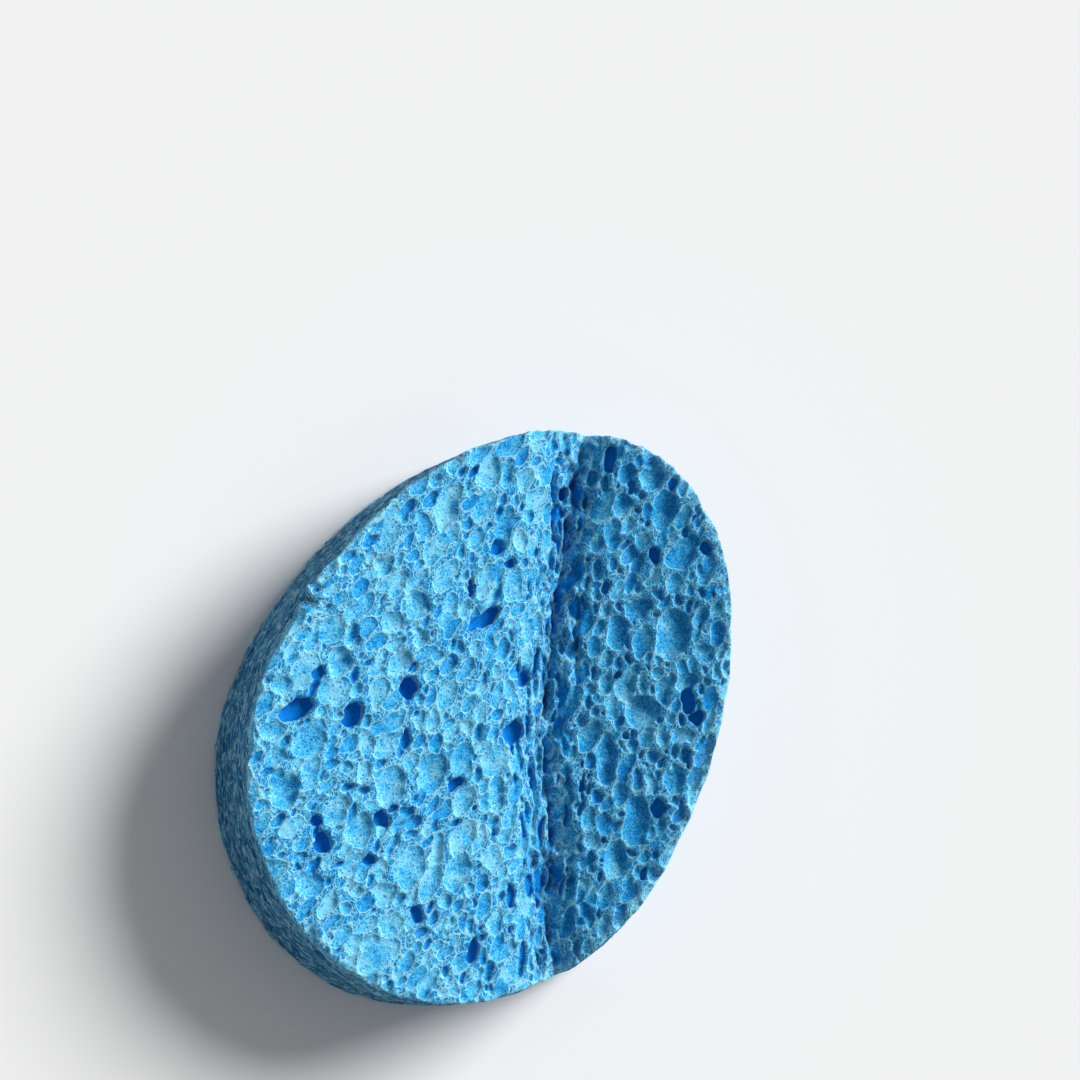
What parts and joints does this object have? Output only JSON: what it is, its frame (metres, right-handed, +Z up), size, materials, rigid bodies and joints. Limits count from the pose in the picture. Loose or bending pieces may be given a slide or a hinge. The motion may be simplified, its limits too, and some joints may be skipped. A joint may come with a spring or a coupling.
{
  "type": "cellulose bath sponge",
  "caption": "Egg-shaped bath sponge of blue cellulose foam in one piece, 121 x 90 x 25 mm flat, resting with a fold pressed across its face.",
  "frame": {"origin": "on the floor plane, under the middle of the egg outline, on the flat underside of the large wing", "axes": "+Z up through the sponge, +Y along the crease towards the narrow end, +X from the large wing across the crease to the raised small wing"},
  "size_m": [0.1038, 0.1159, 0.0358],
  "materials": {
    "foam": "matte"
  },
  "bodies": {
    "root": {"sponge": "foam"}
  },
  "joints": []
}
